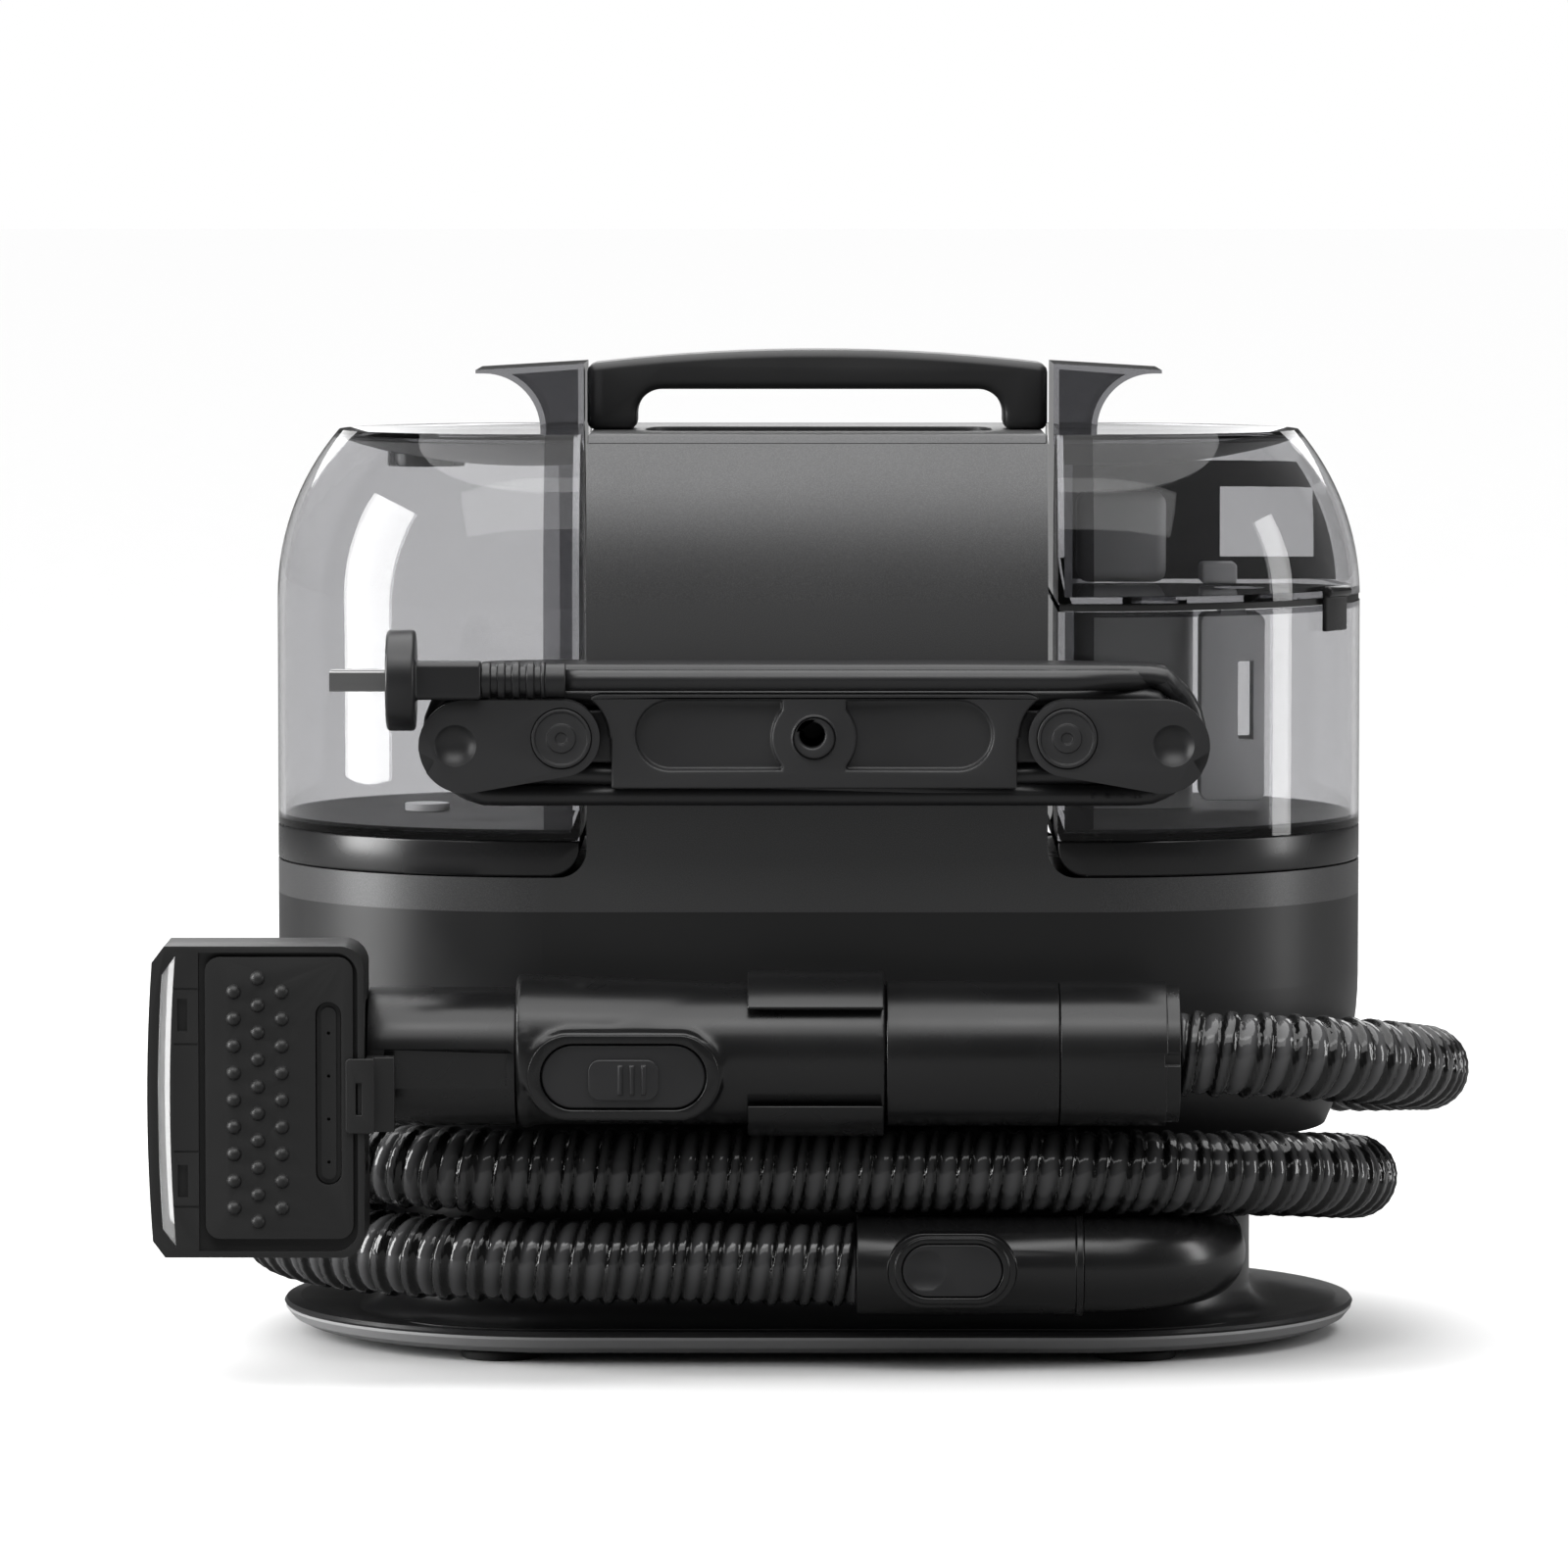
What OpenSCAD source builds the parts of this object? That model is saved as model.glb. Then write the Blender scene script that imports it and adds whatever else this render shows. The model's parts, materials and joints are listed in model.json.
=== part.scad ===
// Portable carpet cleaner: body with two lift-off tanks, cord wrap, hose and spray wand.
// Millimetres. The origin is on the floor under the middle of the body, +Z is up,
// +X runs along the body and -Y is the side that carries the cord, wand and hose.

/* [Body] */
// Width of the body from end to end
body_w = 389; // [386:1:392]
// Depth of the body from wall to wall
body_d = 196; // [194:1:196]
// Height of the flat top
top_z = 325; // [324:1:326]
// Height at which the shoulder starts to round over
shoulder_z = 265; // [262:1:268]
// Radius of the shoulder
shoulder_r = 92; // [90:1:94]
// Width of the base tray
tray_w = 386; // [382:1:388]
// Depth of the base tray
tray_d = 208; // [204:1:210]
// Wall of the moulded shells
wall = 2.5; // [2.2:0.1:2.8]

/* [Handle] */
// Height of the handle at its middle
handle_z = 353.6; // [352:0.1:356]
// Depth of the handle, front to back
handle_d = 30; // [28:1:34]

/* [Cord wrap] */
// Half the distance between the two hook pivots
pivot_x = 87; // [86:0.5:88]
// Height of the hook pivots
pivot_z = 222.6; // [222:0.1:223]
// Diameter of the power cord
cord_d = 7.6; // [7.4:0.1:7.6]

/* [Hose and wand] */
// Outer diameter of the suction hose
hose_d = 30.5; // [30:0.1:30.5]
// Outer radius of the wand
wand_r = 25; // [24.8:0.1:25]
// Height of the wand's axis
wand_z = 112.5; // [112:0.1:113]

/* [Feet] */
// Distance between foot screws along X
foot_dx = 224; // [220:1:228]
// Distance between foot screws along Y
foot_dy = 156; // [150:1:158]
// Radius of the foot screw holes
foot_hole_r = 2.25; // [2:0.05:2.5]

/* [Hidden] */
$fn = 64;
half_w = body_w / 2;
half_d = body_d / 2;
gap = 0.3;
tray_z = 12.6;
cove_r = 10;
waist_z = 76;
waist_w = 308;
waist_d = 180;
waist_r = 56;
band_z = 159;
deck_z = 171;
glass_z = 184;
seal_z = 264;
col_l = -81;
col_r = 80;
tank_x = 83.5;
tank_wall = 2.4;
bracket_x = -1.5;
left_pivot = bracket_x - pivot_x;
right_pivot = bracket_x + pivot_x;
wand_y = -127;
hose_y = -112;
hose_z = 37;
connector_x0 = 13.3;
connector_x1 = 92.1;
elbow_x = 92.4;
elbow_r = 42;
release_x = 46.4;
plug_y = -138;
plug_z = 242.5;
hook_y = -141;
neck_x = -104.5;
grip_x = 23.5;
cuff_x = 83.3;
cuff_end_x = 124.6;
wand_bore_r = 15;
pad_y = -153;
wrap_front_y = -139;
wrap_back_y = -131;
wrap_foot_y = -99.5;
trigger_x = -67;
trigger_z = 107;
head_y = -162;
head_z = 99.1;
head_right = -155.6;
head_half_h = 53.6;
bump_x = -192;
bump_pitch = 9.3;
bump_column = 8.2;
plate_z = 1.4;
mouth_x = -230;
mouth_r = 654;
mouth_bar_x = -212.3;
spray_x = -167.8;
latch_z = 101.3;
valve_x = -141;
dish_x = 104;
dish_depth = 10;
dish_r = 236;
cap_z = 318.6;
button_r = 9;
button_z = 240;
riser_x = 114;
riser_y = 20;
float_x = 148.5;
HOSE_ROUTE = [
    [13, -112, 37], [-20, -112, 37.5], [-50, -112, 38], [-83, -112, 38], [-126, -103, 38],
    [-162, -79, 38], [-186, -43, 38], [-194, 0, 38], [-186, 43, 38], [-162, 79, 38],
    [-126, 103, 38], [-83, 112, 38], [-28, 112, 38], [28, 112, 39], [83, 112, 40],
    [126, 103, 43], [162, 79, 47], [186, 43, 51], [194, 0, 55], [186, -43, 60],
    [162, -79, 65], [126, -103, 68], [83, -112, 70], [28, -112, 70], [-28, -112, 70],
    [-83, -112, 70], [-130, -106, 70], [-167, -81, 71], [-192, -44, 71], [-201, 0, 72],
    [-192, 44, 72], [-167, 81, 73], [-130, 107, 74], [-86, 116, 75], [-28, 116, 76],
    [28, 116, 77], [83, 117, 78], [118, 116, 79], [152, 107, 81], [181, 88, 84],
    [202, 61, 87], [214, 28, 91], [218, -8, 95], [216, -44, 99], [208, -76, 103],
    [193, -101, 107], [172, -118, 110], [148, -126, 112], [125, -127, 112.5]];
LEAD_ROUTE = [
    [-87, -138, 242.5], [-60, -138, 242.5], [-30, -138, 242.5], [0, -138, 242.5],
    [30, -138, 242.5], [60, -138, 242.5], [84, -138, 242.5], [95, -136, 242],
    [104, -130, 241], [111, -122, 240]];

// Flat shapes

// Round-ended slab outline, half width hw and half depth hd
module stadium(hw, hd) {
    square([2 * (hw - hd), 2 * hd], center = true);
    for (s = [-1, 1]) translate([s * (hw - hd), 0]) circle(r = hd);
}

// Rectangle with round corners
module rounded(w, h, r) {
    square([w - 2 * r, h], center = true);
    square([w, h - 2 * r], center = true);
    for (x = [-1, 1], y = [-1, 1]) translate([x * (w / 2 - r), y * (h / 2 - r)]) circle(r = r);
}

// Two circles joined by their common tangents: r1 at the origin, r2 at x = d
module tapered_link(d, r1, r2) {
    a = acos((r1 - r2) / d);
    circle(r = r1);
    translate([d, 0]) circle(r = r2);
    polygon([[r1 * cos(a), r1 * sin(a)], [r1 * cos(a), -r1 * sin(a)],
        [d + r2 * cos(a), -r2 * sin(a)], [d + r2 * cos(a), r2 * sin(a)]]);
}

// Solids from flat shapes

// The shape's x and y become Y and Z
module along_x(x0, x1) {
    translate([x0, 0, 0]) rotate([90, 0, 90]) linear_extrude(x1 - x0) children();
}

// The shape's x and y become X and Z
module along_y(y0, y1) {
    translate([0, y1, 0]) rotate([90, 0, 0]) linear_extrude(y1 - y0) children();
}

// The shape's x and y stay X and Y
module along_z(z0, z1) {
    translate([0, 0, z0]) linear_extrude(z1 - z0) children();
}

// A profile in radius and height, carried round a round-ended plan
module round_plan(hw, hd) {
    c = hw - hd;
    for (s = [-1, 1]) translate([s * c, 0, 0]) rotate_extrude() children();
    along_x(-c, c) {
        children();
        mirror([1, 0]) children();
    }
}

// A profile whose x is measured from the corner centres, carried round a rounded rectangle
module round_corners_plan(w, d, r) {
    for (i = [0 : 3]) translate([(w / 2 - r) * (i % 3 == 0 ? 1 : -1), (d / 2 - r) * (i < 2 ? 1 : -1), 0])
        rotate(90 * i) rotate_extrude(angle = 90) children();
    along_x(r - w / 2, w / 2 - r) for (s = [0, 1]) mirror([s, 0]) translate([d / 2 - r, 0]) children();
    along_y(r - d / 2, d / 2 - r) for (s = [0, 1]) mirror([s, 0]) translate([w / 2 - r, 0]) children();
}

// Profiles

// Body above the waist band: straight wall, then the round shoulder
module upper_profile(inset, z0, z1) {
    intersection() {
        translate([0, z0]) square([half_d - inset, z1 - z0]);
        union() {
            square([half_d - inset, shoulder_z]);
            translate([half_d - shoulder_r, shoulder_z]) circle(r = shoulder_r - inset);
        }
    }
}

// Lower shell: straight wall that tucks in towards the waist
module lower_profile(inset, z0, z1) {
    tuck_r = 132.5;
    tuck_z = 130;
    intersection() {
        translate([0, z0]) square([half_d - inset, z1 - z0]);
        union() {
            translate([0, tuck_z]) square([half_d - inset, band_z - tuck_z]);
            translate([half_d - tuck_r, tuck_z]) circle(r = tuck_r - inset);
        }
    }
}

// Sweeps a round bar through the points, with ring normals along the local direction
function unit(v) = v / norm(v);
function heading(p, i) = unit(p[min(i + 1, len(p) - 1)] - p[max(i - 1, 0)]);
function side_of(t) = unit(cross(t, [0, 0, 1]));
module swept_bar(p, r, sides) {
    pts = [for (i = [0 : len(p) - 1], k = [0 : sides - 1])
        let (t = heading(p, i), s = side_of(t), u = cross(s, t), a = 360 * k / sides)
            p[i] + r * (cos(a) * s + sin(a) * u)];
    n = len(p);
    faces = concat(
        [[for (k = [0 : sides - 1]) k]],
        [for (i = [0 : n - 2], k = [0 : sides - 1])
            [i * sides + k, (i + 1) * sides + k,
             (i + 1) * sides + (k + 1) % sides, i * sides + (k + 1) % sides]],
        [[for (k = [sides - 1 : -1 : 0]) (n - 1) * sides + k]]);
    polyhedron(points = pts, faces = faces);
}

module foot_places() {
    for (x = [-1, 1], y = [-1, 1]) translate([x * foot_dx / 2, y * foot_dy / 2, 0]) children();
}

// Base

module base_tray() color("#3c3c3c") difference() {
    union() {
        round_plan(tray_w / 2, tray_d / 2)
            polygon([[0, 10], [tray_d / 2 - 0.5, 10], [tray_d / 2, 10.8],
                [tray_d / 2 - 0.8, 12], [tray_d / 2 - 6, tray_z], [0, tray_z]]);
        along_z(tray_z - 1, tray_z + 6)
            rounded(waist_w - 2 * wall - 1, waist_d - 2 * wall - 1, waist_r - wall - 0.5);
        round_corners_plan(waist_w, waist_d, waist_r) difference() {
            translate([waist_r, tray_z - 0.4]) square([cove_r, cove_r + 0.4]);
            translate([waist_r + cove_r, tray_z + cove_r]) circle(r = cove_r);
        }
    }
    foot_places() translate([0, 0, 9]) cylinder(r = foot_hole_r, h = 20);
}

module base_skirt() color("#7a7a7a") difference() {
    round_plan(tray_w / 2, tray_d / 2)
        polygon([[0, 3], [92, 3], [97, 4], [101, 6], [tray_d / 2 - 0.5, 9], [tray_d / 2 - 0.5, 10],
            [0, 10]]);
    foot_places() translate([0, 0, 2]) cylinder(r = foot_hole_r, h = 12);
}

module rubber_feet() color("#1c1c1c") foot_places() difference() {
    cylinder(r = 14, h = 3);
    translate([0, 0, -1]) cylinder(r = foot_hole_r, h = 6);
}

// Body shells

module waist_shell() color("#242424") difference() {
    along_z(tray_z, waist_z) rounded(waist_w, waist_d, waist_r);
    along_z(tray_z - 1, waist_z + 1) rounded(waist_w - 2 * wall, waist_d - 2 * wall, waist_r - wall);
    outlet_path(16.8);
}

module lower_shell() color("#303030") difference() {
    round_plan(half_w, half_d) lower_profile(0, waist_z, band_z);
    round_plan(half_w, half_d) lower_profile(wall, waist_z + 3, band_z + 1);
    along_z(waist_z - 1, waist_z + 4) rounded(waist_w - 16, waist_d - 16, waist_r - 8);
    along_y(half_d - 10, half_d + 1) translate([0, 143]) rounded(96, 20, 4);
}

module body_band() color("#505050") difference() {
    along_z(band_z, deck_z) stadium(half_w, half_d);
    along_z(band_z - 1, deck_z + 1) stadium(half_w - wall, half_d - wall);
}

module tank_deck() color("#262626") difference() {
    along_z(deck_z - 3, deck_z) stadium(half_w - wall, half_d - wall);
    translate([valve_x, 0, deck_z - 5]) cylinder(r = 12, h = 8);
    translate([riser_x, riser_y, deck_z - 5]) cylinder(r = 12.2, h = 8);
    along_z(deck_z - 4, deck_z + 1) rounded(120, 120, 10);
}

// Column outline with the round flares at its foot
module column_outline() {
    flare = 10;
    translate([col_l, deck_z]) square([col_r - col_l, top_z - deck_z]);
    difference() {
        translate([col_l - flare, deck_z]) square([col_r - col_l + 2 * flare, flare]);
        translate([col_l - flare, deck_z + flare]) circle(r = flare);
        translate([col_r + flare, deck_z + flare]) circle(r = flare);
    }
}

module column_skin() color("#4c4c4c") intersection() {
    along_x(-95, 95) difference() {
        upper_profile(0, deck_z, top_z - 3);
        upper_profile(wall, deck_z - 1, top_z);
    }
    along_y(20, half_d + 1) column_outline();
}

module front_column_cover() difference() {
    column_skin();
    button_places() circle(r = button_r + gap);
}

module rear_column_cover() mirror([0, 1, 0]) column_skin();

module column_side_walls() color("#2a2a2a") for (x = [col_l + 0.2, col_r - 2.2]) along_x(x, x + 2) {
    upper_profile(wall, deck_z, top_z - 3);
    mirror([1, 0]) upper_profile(wall, deck_z, top_z - 3);
}

module top_cover() color("#3a3a3a") {
    well_w = 124;
    well_d = 60;
    well_z = 301;
    difference() {
        along_x(col_l, col_r) {
            upper_profile(0, top_z - 3, top_z);
            mirror([1, 0]) upper_profile(0, top_z - 3, top_z);
        }
        along_z(top_z - 4, top_z + 1) rounded(well_w, well_d, 14);
    }
    difference() {
        along_z(well_z, top_z - 3) rounded(well_w + 4, well_d + 4, 16);
        along_z(well_z + 2, top_z - 2) rounded(well_w, well_d, 14);
    }
}

module carry_handle() color("#2e2e2e") {
    crown_r = 678;
    along_y(-handle_d / 2, handle_d / 2) difference() {
        intersection() {
            translate([-0.5, handle_z - crown_r]) circle(r = crown_r, $fn = 200);
            translate([col_l - 1.8, top_z]) square([col_r - col_l + 3.6, 40]);
        }
        translate([0.5, 320.5]) rounded(131, 38, 9);
    }
}

// Cord wrap

// Front plate of the wrap, notched so that the hooks can swing down past its ends
module wrap_plate_outline() difference() {
    translate([0, -1]) rounded(2 * pivot_x - 14, 33, 7);
    for (s = [-1, 1]) translate([s * pivot_x, 0]) {
        circle(r = 16.5);
        translate([0, -17]) square([34.4, 34], center = true);
    }
}

module cord_wrap_bracket() color("#3c3c3c") difference() {
    translate([bracket_x, 0, pivot_z]) {
        along_y(wrap_back_y, wrap_foot_y) stadium(119, 9);
        along_y(wrap_foot_y, -half_d) stadium(70, 9);
        along_y(wrap_front_y, wrap_back_y) difference() {
            wrap_plate_outline();
            difference() {
                translate([0, 1]) stadium(61.5, 12);
                circle(r = 14.6);
                square([22, 40], center = true);
            }
        }
        along_y(wrap_front_y + 4, wrap_back_y) translate([0, 1]) stadium(63, 13);
        along_y(wrap_front_y - 0.5, wrap_back_y) circle(r = 7.4);
    }
    translate([bracket_x - 0.7, -100, pivot_z + 1.1]) rotate([90, 0, 0]) cylinder(r = 4.4, h = 50);
    for (x = [left_pivot, right_pivot])
        translate([x, -120, pivot_z]) rotate([90, 0, 0]) cylinder(r = 3, h = 12);
}

// Hook with its pivot at the origin, reaching towards +X
module hook_shape() color("#3a3a3a") difference() {
    along_y(hook_y, hook_y + 9.5) rotate(-5) tapered_link(33.2, 13.2, 16.1);
    translate([0, hook_y - 1, 0]) rotate([-90, 0, 0]) cylinder(r = 3.05, h = 12);
    along_y(hook_y - 1, hook_y + 2) circle(r = 10.6);
    translate([36.5, hook_y - 5.4, -2.5]) sphere(r = 9);
    along_y(hook_y - 1, hook_y + 3) translate([46, -12]) rotate(30) square([12, 5]);
}

module cord_hook_left() translate([left_pivot, 0, pivot_z]) mirror([1, 0, 0]) hook_shape();

module cord_hook_right() translate([right_pivot, 0, pivot_z]) hook_shape();

module hook_pivot_caps() color("#444444") for (x = [left_pivot, right_pivot])
    translate([x, 0, pivot_z]) rotate([90, 0, 0]) difference() {
        union() {
            translate([0, 0, 122]) cylinder(r = 3, h = 18.5);
            translate([0, 0, -hook_y - 1.7]) cylinder(r = 10.2, h = 2.4);
        }
        translate([0, 0, -hook_y + 0.3]) cylinder(r = 2, h = 2);
        translate([0, 0, -hook_y + 0.3]) difference() {
            cylinder(r = 9, h = 2);
            translate([0, 0, -1]) cylinder(r = 5, h = 4);
        }
    }

module cord_gland() color("#2b2b2b") translate([66, -94, 238.6]) rotate([90, 0, 0]) difference() {
    cylinder(r = 6, h = 9);
    translate([0, 0, -1]) cylinder(r = cord_d / 2, h = 12);
}

module power_cord_winding() color("#303030") translate([bracket_x, 0, pivot_z + 0.4])
    along_y(-130, -99.8) difference() {
        stadium(136.8, 24.9);
        translate([0, -0.4]) stadium(119.3, 9.3);
    }

module power_cord_lead() color("#303030") swept_bar(LEAD_ROUTE, cord_d / 2, 12);

module plug_strain_relief() color("#303030") translate([-116, plug_y, plug_z]) rotate([0, 90, 0]) {
    difference() {
        cylinder(r = 6.4, h = 22);
        for (i = [0 : 3]) translate([0, 0, 3.2 + 5 * i]) difference() {
            cylinder(r = 9, h = 2.4);
            translate([0, 0, -1]) cylinder(r = 5.2, h = 5);
        }
    }
    translate([0, 0, 22]) cylinder(r = 6, h = 7);
}

module plug_housing() color("#303030") {
    translate([-148.5, plug_y, plug_z]) rotate([0, 90, 0]) cylinder(r = 17.4, h = 9.9);
    along_x(-138.6, -116) translate([plug_y, plug_z]) rounded(14, 13, 2);
}

module plug_blades() color("#a5a5a5") for (y = [-6.35, 6.35])
    along_x(-168, -148.5) translate([plug_y + y, plug_z]) rounded(1.5, 7, 0.7);

// Hose at the machine

// Quarter bend and straight stub from the connector into the waist, of outer radius r
module outlet_path(r) {
    translate([elbow_x, hose_y + elbow_r, hose_z]) rotate([0, 0, -90])
        rotate_extrude(angle = 90) translate([elbow_r, 0]) circle(r = r);
    along_y(hose_y + elbow_r, hose_y + elbow_r + 26)
        translate([elbow_x + elbow_r, hose_z]) circle(r = r);
}

module hose_outlet_elbow() color("#2b2b2b") difference() {
    outlet_path(16.5);
    outlet_path(14);
}

module hose_connector() color("#2e2e2e") difference() {
    union() {
        along_x(connector_x0, connector_x1) translate([hose_y, hose_z]) circle(r = 17.3);
        along_x(connector_x1 - 2.6, connector_x1) translate([hose_y, hose_z]) circle(r = 17.9);
        along_y(-129.6, -118) translate([release_x, hose_z]) stadium(22.4, 13);
        along_y(-130.6, -118) translate([release_x, hose_z]) stadium(20, 11.6);
    }
    along_x(connector_x0 - 1, connector_x1 + 1) translate([hose_y, hose_z]) circle(r = 12.5);
    along_y(-132, -124.4) translate([release_x, hose_z]) stadium(17.6, 9.4);
}

module hose_release_button() color("#343434") difference() {
    along_y(-130.2, -127.4) translate([release_x, hose_z]) stadium(17.3, 9.1);
    translate([release_x - 9.2, -146, hose_z]) sphere(r = 17.4);
}

module suction_hose() color("#1e1e1e") swept_bar(HOSE_ROUTE, hose_d / 2, 12);

// Wand

module hose_cuff() color("#333333") difference() {
    union() {
        along_x(cuff_x, cuff_end_x - 4.6) translate([wand_y, wand_z]) circle(r = wand_r);
        along_x(cuff_end_x - 4.6, cuff_end_x) translate([wand_y, wand_z]) circle(r = wand_r - 1.2);
    }
    along_x(cuff_x - 1.3, cuff_end_x + 1.4) translate([wand_y, wand_z]) circle(r = 15.8);
    along_x(cuff_end_x - 5.6, cuff_end_x + 1.4)
        translate([wand_y - wand_r, wand_z]) square([5, 4], center = true);
}

module wand_tube() color("#323232") difference() {
    along_x(grip_x, cuff_x - gap) translate([wand_y, wand_z]) circle(r = wand_r);
    along_x(grip_x - 1.5, cuff_x + 0.7) translate([wand_y, wand_z]) circle(r = wand_r - wall);
}

module wand_grip() color("#303030") difference() {
    union() {
        along_x(neck_x, grip_x) translate([wand_y, wand_z]) circle(r = wand_r - gap);
        along_y(pad_y, wand_y) translate([trigger_x, trigger_z]) stadium(34, 15.5);
    }
    along_x(neck_x - 1.5, grip_x + 1.5) translate([wand_y, wand_z]) circle(r = wand_bore_r);
    along_y(pad_y - 2, pad_y + 8.5) translate([trigger_x, trigger_z]) trigger_hole();
}

module wand_neck() color("#2c2c2c") difference() {
    along_x(head_right + gap, neck_x) translate([wand_y, wand_z - 1]) circle(r = 24);
    along_x(head_right - 1.4, neck_x + 1.5) translate([wand_y, wand_z]) circle(r = wand_bore_r);
}

module trigger_hole() stadium(28.6, 11.4);

module trigger_bezel() color("#2a2a2a") along_y(pad_y - 1.6, pad_y) translate([trigger_x, trigger_z])
    difference() {
        stadium(33, 14.5);
        trigger_hole();
    }

module spray_trigger() color("#383838") along_y(pad_y - 0.6, pad_y + 4)
    translate([trigger_x, trigger_z]) stadium(28.2, 11);

module trigger_lock() color("#404040") {
    along_y(pad_y - 2.4, pad_y - 0.9) translate([trigger_x, trigger_z - 1]) rounded(24, 14, 4);
    for (i = [-1 : 1]) along_y(pad_y - 3.4, pad_y - 2.4)
        translate([trigger_x + 3 + 4 * i, trigger_z - 1]) square([1.4, 10], center = true);
}

module wand_clip() color("#2c2c2c") along_x(bracket_x - 23, bracket_x + 24) {
    difference() {
        translate([wand_y, wand_z]) circle(r = 28.6);
        translate([wand_y, wand_z]) circle(r = 25.3);
        translate([wand_y, wand_z]) polygon([[0, 0], [-40, 32], [-40, -16]]);
        translate([wand_y - 45, wand_z - 16]) square([30, 33]);
    }
    difference() {
        translate([-102, wand_z - 10]) square([4, 28]);
        translate([wand_y, wand_z]) circle(r = 25.3);
    }
}

// Brush head

// Head outline with its curved, corner-cut mouth side, shrunk by inset
module head_outline(inset) {
    x0 = mouth_x + inset;
    x1 = head_right - inset;
    z0 = head_z - head_half_h + inset;
    z1 = head_z + head_half_h - inset;
    intersection() {
        union() {
            polygon([[x0, z0 + 8], [x0 + 6, z0], [x1 - 8, z0], [x1 - 8, z1], [x0 + 6, z1],
                [x0, z1 - 8]]);
            translate([x1 - 20, head_z]) rounded(40, z1 - z0, 8);
        }
        mouth_circle(inset);
    }
}

module mouth_circle(inset) translate([mouth_x + mouth_r, head_z]) circle(r = mouth_r - inset, $fn = 360);

// Curved slot of the mouth, shrunk by inset
module mouth_strip(inset) difference() {
    head_outline(3.6 + inset);
    mouth_circle(7.9 - inset);
}

module nozzle_head() color("#2d2d2d") difference() {
    along_y(head_y, -128) head_outline(0);
    along_y(head_y - 1, head_y + 3) intersection() {
        head_outline(2.2);
        translate([mouth_bar_x, 0]) square([60, 200]);
    }
    along_x(-226, -152) translate([-145, wand_z - 9.5]) rounded(22, 60, 8);
    along_y(head_y - 2, -127) mouth_strip(0);
    along_y(head_y - 1, head_y + 6.3) translate([spray_x, head_z + 3]) stadium_up(4.5, 31.6);
    for (s = [-1, 1]) along_y(head_y - 1, head_y + 2.2)
        translate([-217.8, head_z + plate_z + 28.6 * s]) square([3.4, 11.2], center = true);
    for (z = [-36, -17, 20, 39]) along_y(head_y - 1, head_y + 0.5)
        translate([-216.6, head_z + z]) square([8.4, 0.8], center = true);
}

module nozzle_window() color("#e8e8e8") along_y(head_y + 1, head_y + 3) mouth_strip(0.15);

module scrub_plate() color("#262626") {
    difference() {
        along_y(head_y, head_y + 2.8) translate([-184.7, head_z + plate_z]) rounded(50.6, 97, 5);
        along_y(head_y - 1, head_y + 4) translate([spray_x, head_z + 3]) stadium_up(4.4, 31.5);
    }
    for (i = [-5 : 4], k = [-1 : 1]) if (k == 0 || i > -5)
        translate([bump_x + bump_column * k, head_y + 0.5,
            head_z + 5.4 + bump_pitch * (i - abs(k) / 2)]) sphere(r = 2.6, $fn = 16);
}

// Upright slot outline, half width hw and half height hh
module stadium_up(hw, hh) rotate(90) stadium(hh, hw);

module spray_bar() color("#202020") difference() {
    along_y(head_y + 1.4, head_y + 6) translate([spray_x, head_z + 3]) stadium_up(4.1, 31.2);
    along_y(head_y + 1, head_y + 2.4) translate([spray_x, head_z + 3]) difference() {
        stadium_up(5, 32);
        stadium_up(2.6, 29.6);
    }
    for (i = [-1.5 : 1 : 1.5]) translate([spray_x, head_y + 4, head_z + 1.5 + 14.8 * i])
        rotate([90, 0, 0]) cylinder(r = 0.6, h = 4, $fn = 24);
}

// Spring latch: face plate, side arm and a block beside the neck, flexing about its own bore
module head_latch() color("#333333") difference() {
    union() {
        along_y(head_y - 1.5, head_y - 0.3) translate([-157, latch_z]) rounded(9.7, 25.7, 1.5);
        along_y(head_y - 1.5, -152) translate([-153.7, latch_z]) square([3, 25.7], center = true);
        along_y(-158.5, -152) translate([-149.4, latch_z]) square([7.8, 25.7], center = true);
    }
    along_y(head_y - 2, head_y - 0.2) translate([-157.4, latch_z - 1]) square([2, 11], center = true);
    translate([-147.8, -154.2, 0]) cylinder(r = 0.9, h = 200, $fn = 24);
}

// Insides

module motor_housing() color("#8a8a8a") difference() {
    translate([0, 0, 82]) cylinder(r = 46, h = 66);
    translate([0, 0, 86]) cylinder(r = 43, h = 58);
    translate([0, 0, 140]) cylinder(r = 16, h = 10);
}

module fan_rotor() color("#b0b0b0") translate([0, 0, 90]) {
    cylinder(r = 4, h = 46);
    translate([0, 0, 24]) cylinder(r = 36, h = 2);
    for (i = [0 : 8]) rotate(i * 40) translate([12, -0.8, 25]) cube([23, 1.6, 11]);
}

module water_pump() color("#6a6a6a") difference() {
    union() {
        translate([-128, -22, 82]) cube([56, 44, 30]);
        translate([-100, 0, 112]) cylinder(r = 12, h = 20);
    }
    translate([-100, 0, 96]) cylinder(r = 7, h = 34);
}

module pump_plunger() color("#c0c0c0") translate([-100, 0, 98]) cylinder(r = 6.94, h = 24);

module circuit_board() color("#1f5a32") {
    translate([66, 56, 84]) cube([60, 1.6, 50]);
    for (i = [0 : 3]) translate([72 + 13 * i, 50, 92 + 8 * i]) cube([8, 6, 10]);
}

module exhaust_grille() color("#262626") difference() {
    along_y(half_d - 3, half_d - 0.4) translate([0, 143]) rounded(95.4, 19.4, 4);
    for (i = [-8 : 8]) along_y(half_d - 4, half_d + 1) translate([5 * i, 143]) stadium_up(1.2, 7);
}

// Tanks

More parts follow.
